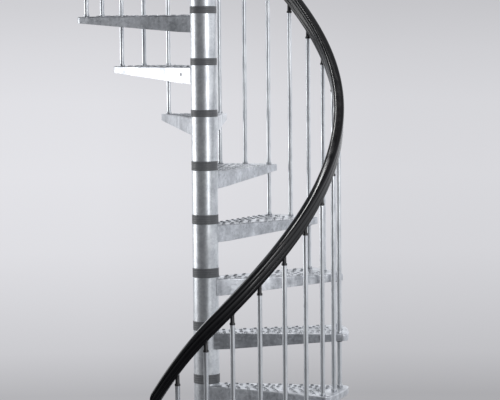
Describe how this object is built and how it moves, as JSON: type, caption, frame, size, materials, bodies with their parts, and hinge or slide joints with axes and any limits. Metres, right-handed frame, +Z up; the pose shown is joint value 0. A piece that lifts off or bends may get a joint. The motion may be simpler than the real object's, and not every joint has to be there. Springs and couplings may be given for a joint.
{
  "type": "spiral staircase",
  "caption": "Round spiral staircase of galvanised steel: stacked hub tubes with spacer rings, folded perforated treads, a landing, tube balusters and a black plastic handrail.",
  "frame": {"origin": "on the column's axis, at floor level, the underside of the base plate", "axes": "+Z up along the column; -Y points along the first tread; the stair climbs counterclockwise seen from above, towards +X first"},
  "size_m": [1.2558, 1.2559, 3.802],
  "materials": {
    "galvanised_sheet": "hot-dip galvanised sheet, cloudy, satin",
    "galvanised_tube": "galvanised tube, semi-bright with faint lengthwise streaks",
    "grey_plastic": "dark grey moulded plastic, satin",
    "black_plastic": "black moulded plastic, satin",
    "handrail_plastic": "smooth black extruded plastic, glossy"
  },
  "bodies": {
    "root": {"base_plate": "galvanised_tube", "centre_pole": "galvanised_tube", "spacers_lower": "grey_plastic", "spacers_upper": "grey_plastic", "tread_01": "galvanised_sheet", "tread_02": "galvanised_sheet", "tread_03": "galvanised_sheet", "tread_04": "galvanised_sheet", "tread_05": "galvanised_sheet", "tread_06": "galvanised_sheet", "tread_07": "galvanised_sheet", "tread_08": "galvanised_sheet", "tread_09": "galvanised_sheet", "tread_10": "galvanised_sheet", "tread_11": "galvanised_sheet", "landing": "galvanised_sheet", "newel_tube": "galvanised_tube", "newel_cap": "grey_plastic", "start_baluster": "galvanised_tube", "start_plate": "galvanised_tube", "balusters_lower": "galvanised_tube", "balusters_middle": "galvanised_tube", "balusters_upper": "galvanised_tube", "balusters_landing": "galvanised_tube", "baluster_caps": "black_plastic", "foot_collars": "galvanised_tube", "corner_bushes": "black_plastic", "handrail": "handrail_plastic", "handrail_end_lower": "handrail_plastic", "handrail_end_upper": "handrail_plastic"}
  },
  "joints": []
}
